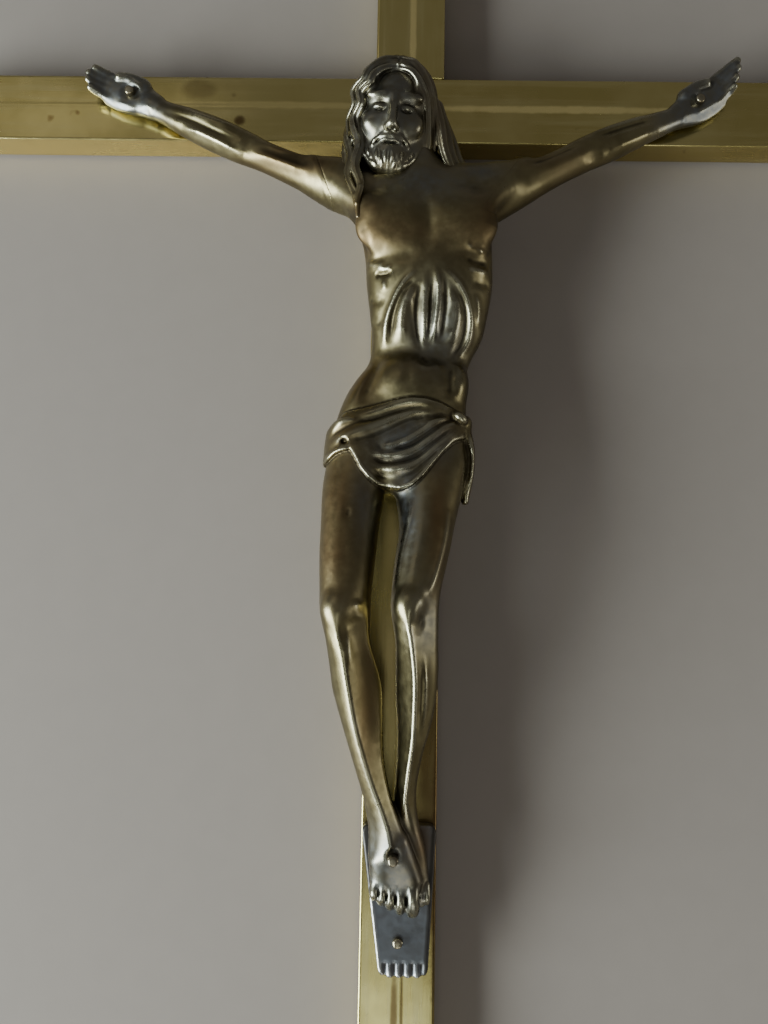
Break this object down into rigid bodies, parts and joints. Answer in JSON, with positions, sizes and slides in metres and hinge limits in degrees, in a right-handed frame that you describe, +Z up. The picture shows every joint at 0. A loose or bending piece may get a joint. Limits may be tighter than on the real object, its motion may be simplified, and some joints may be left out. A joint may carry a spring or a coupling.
{
  "type": "crucifix",
  "caption": "Wall crucifix of half-lapped polished brass bars with a cast antiqued figure, separate arms, foot rest and pegs.",
  "frame": {"origin": "middle of the crossing of the two bars, on their back plane", "axes": "+Z up along the upright, +Y into the wall, +X to the viewer's right"},
  "size_m": [0.14, 0.0199, 0.25],
  "materials": {
    "polished_brass": "drawn and polished, lightly tarnished",
    "antiqued_brass": "cast, browned patina worn bright on the high places",
    "darkened_brass": "cast, dark patina",
    "peg_brass": "turned, worn patina"
  },
  "bodies": {
    "root": {"upright_bar": "polished_brass", "crossbar": "polished_brass", "corpus_body": "antiqued_brass", "left_arm": "antiqued_brass", "right_arm": "antiqued_brass", "foot_rest": "darkened_brass", "left_hand_nail": "peg_brass", "right_hand_nail": "peg_brass", "foot_nail": "peg_brass", "foot_rest_nail": "peg_brass"}
  },
  "joints": []
}
